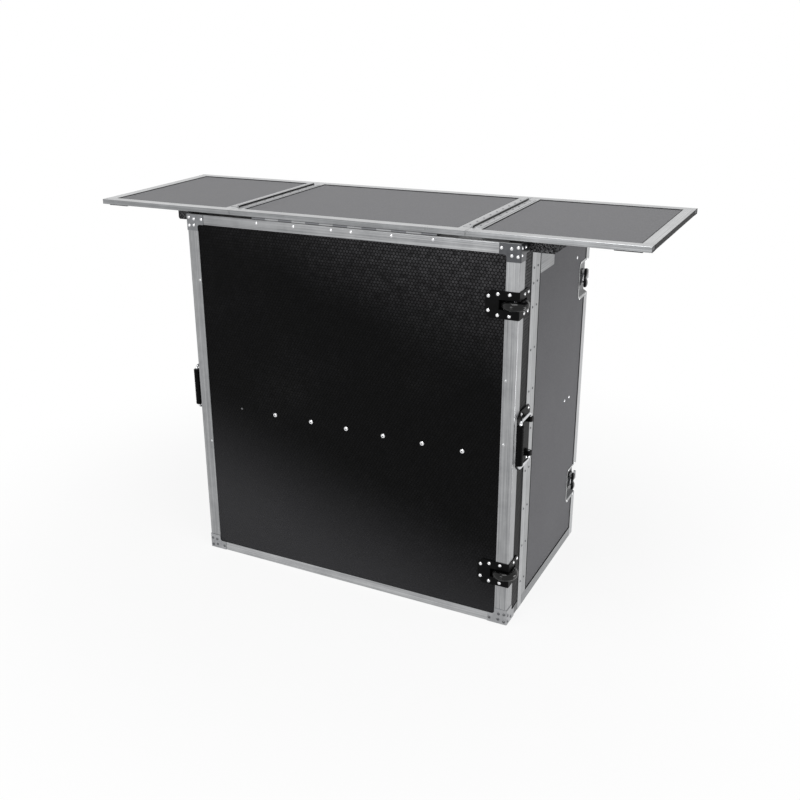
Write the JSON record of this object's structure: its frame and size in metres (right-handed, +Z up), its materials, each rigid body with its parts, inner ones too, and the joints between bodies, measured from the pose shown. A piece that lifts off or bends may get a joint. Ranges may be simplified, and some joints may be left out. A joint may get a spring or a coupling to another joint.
{
  "type": "portable dj booth",
  "caption": "Portable booth: shallow front tray with corner wheels, inward-folding doors with recessed butterfly latches, and a tilting tabletop whose wings fold over.",
  "frame": {"origin": "on the floor, under the middle of the bounding box", "axes": "+X along the front, to the right of a person who faces the front; +Y to the rear; +Z up"},
  "size_m": [1.619, 0.6434, 1.101],
  "materials": {
    "laminate": "black embossed laminate on plywood",
    "grey_laminate": "dark grey laminate on plywood",
    "table_laminate": "grey laminate on plywood",
    "plywood": "stained plywood",
    "aluminium": "extruded, satin anodised",
    "hinge_steel": "rolled, nickel plated",
    "corner_steel": "pressed, zinc plated",
    "black_steel": "black powder coat",
    "chrome": "bent rod, bright plated",
    "rubber": "moulded black rubber",
    "pad": "cut rubber",
    "block": "black painted"
  },
  "bodies": {
    "tray": {"front_panel": "laminate", "side_wall_left": "laminate", "side_wall_right": "laminate", "floor_board": "plywood", "hinge_batten": "plywood", "middle_batten": "plywood", "front_rail_left": "aluminium", "front_rail_right": "aluminium", "top_rail": "aluminium", "bottom_rail": "aluminium", "side_sills": "aluminium", "tray_rear_trims": "aluminium", "corner_plates": "corner_steel", "wheel_bracket_upper": "black_steel", "wheel_bracket_lower": "black_steel", "wheel_axles": "hinge_steel", "handle_plates": "black_steel", "handle_saddles": "black_steel", "tray_hinge_leaves": "hinge_steel", "door_hinge_pins": "hinge_steel", "table_hinge_tray_leaf": "hinge_steel", "table_hinge_pin": "hinge_steel"},
    "door_left": {"door_panel_left": "grey_laminate", "door_rear_trim_left": "aluminium", "door_trims_left": "aluminium", "door_hinge_leaf_left": "hinge_steel", "rest_pads_left": "pad", "catch_dishes": "corner_steel"},
    "door_right": {"door_panel_right": "grey_laminate", "door_rear_trim_right": "aluminium", "door_trims_right": "aluminium", "door_hinge_leaf_right": "hinge_steel", "rest_pads_right": "pad", "latch_dishes": "corner_steel"},
    "table": {"table_board_centre": "table_laminate", "table_trims_centre": "aluminium", "table_hinge_table_leaf": "hinge_steel", "wing_hinge_centre_leaves": "hinge_steel", "wing_hinge_pins": "hinge_steel"},
    "wing_left": {"table_board_left": "table_laminate", "table_trims_left": "aluminium", "wing_hinge_leaf_left": "hinge_steel", "wing_block_left": "block", "wing_pads_left": "pad"},
    "wing_right": {"table_board_right": "table_laminate", "table_trims_right": "aluminium", "wing_hinge_leaf_right": "hinge_steel", "wing_block_right": "block", "wing_pads_right": "pad"},
    "wheel_upper": {"wheel_upper": "rubber"},
    "wheel_lower": {"wheel_lower": "rubber"},
    "handle_left": {"handle_bail_left": "chrome", "handle_grip_left": "rubber"},
    "handle_right": {"handle_bail_right": "chrome", "handle_grip_right": "rubber"},
    "latch_upper": {"latch_butterfly_upper": "black_steel"},
    "hook_upper": {"latch_hook_upper": "corner_steel"},
    "latch_lower": {"latch_butterfly_lower": "black_steel"},
    "hook_lower": {"latch_hook_lower": "corner_steel"}
  },
  "joints": [
    {"name": "door_left_hinge", "type": "hinge", "parent": "tray", "child": "door_left", "pos_m": [-0.485, -0.18025, 0.5375], "axis": [0, 0, -1], "range_deg": [0, 90]},
    {"name": "door_right_hinge", "type": "hinge", "parent": "tray", "child": "door_right", "pos_m": [0.485, -0.18025, 0.5375], "axis": [0, 0, 1], "range_deg": [0, 90]},
    {"name": "table_tilt", "type": "hinge", "parent": "tray", "child": "table", "pos_m": [0, -0.29775, 1.078], "axis": [1, 0, 0], "range_deg": [0, 95]},
    {"name": "wing_left_fold", "type": "hinge", "parent": "table", "child": "wing_left", "pos_m": [-0.353, -0.04525, 1.098], "axis": [0, 1, 0], "range_deg": [0, 180]},
    {"name": "wing_right_fold", "type": "hinge", "parent": "table", "child": "wing_right", "pos_m": [0.353, -0.04525, 1.098], "axis": [0, -1, 0], "range_deg": [0, 176]},
    {"name": "wheel_upper_spin", "type": "hinge", "parent": "tray", "child": "wheel_upper", "pos_m": [0.485, -0.28575, 0.918], "axis": [0, 0, 1], "continuous": true},
    {"name": "wheel_lower_spin", "type": "hinge", "parent": "tray", "child": "wheel_lower", "pos_m": [0.485, -0.28575, 0.157], "axis": [0, 0, 1], "continuous": true},
    {"name": "handle_left_swing", "type": "hinge", "parent": "tray", "child": "handle_left", "pos_m": [-0.514, -0.21675, 0.544], "axis": [0, 0, -1], "range_deg": [0, 95]},
    {"name": "handle_right_swing", "type": "hinge", "parent": "tray", "child": "handle_right", "pos_m": [0.514, -0.21675, 0.544], "axis": [0, 0, 1], "range_deg": [0, 95]},
    {"name": "latch_upper_turn", "type": "hinge", "parent": "door_right", "child": "latch_upper", "pos_m": [0.4985, 0.26775, 0.859], "axis": [1, 0, 0], "range_deg": [0, 180]},
    {"name": "hook_upper_draw", "type": "slide", "parent": "door_right", "child": "hook_upper", "axis": [0, -1, 0], "range_m": [0, 0.006]},
    {"name": "latch_lower_turn", "type": "hinge", "parent": "door_right", "child": "latch_lower", "pos_m": [0.4985, 0.26775, 0.199], "axis": [1, 0, 0], "range_deg": [0, 180]},
    {"name": "hook_lower_draw", "type": "slide", "parent": "door_right", "child": "hook_lower", "axis": [0, -1, 0], "range_m": [0, 0.006]}
  ],
  "couplings": [
    {"joint": "hook_upper_draw", "follows": "latch_upper_turn", "m_per_rad": 0.001909},
    {"joint": "hook_lower_draw", "follows": "latch_lower_turn", "m_per_rad": 0.001909}
  ]
}
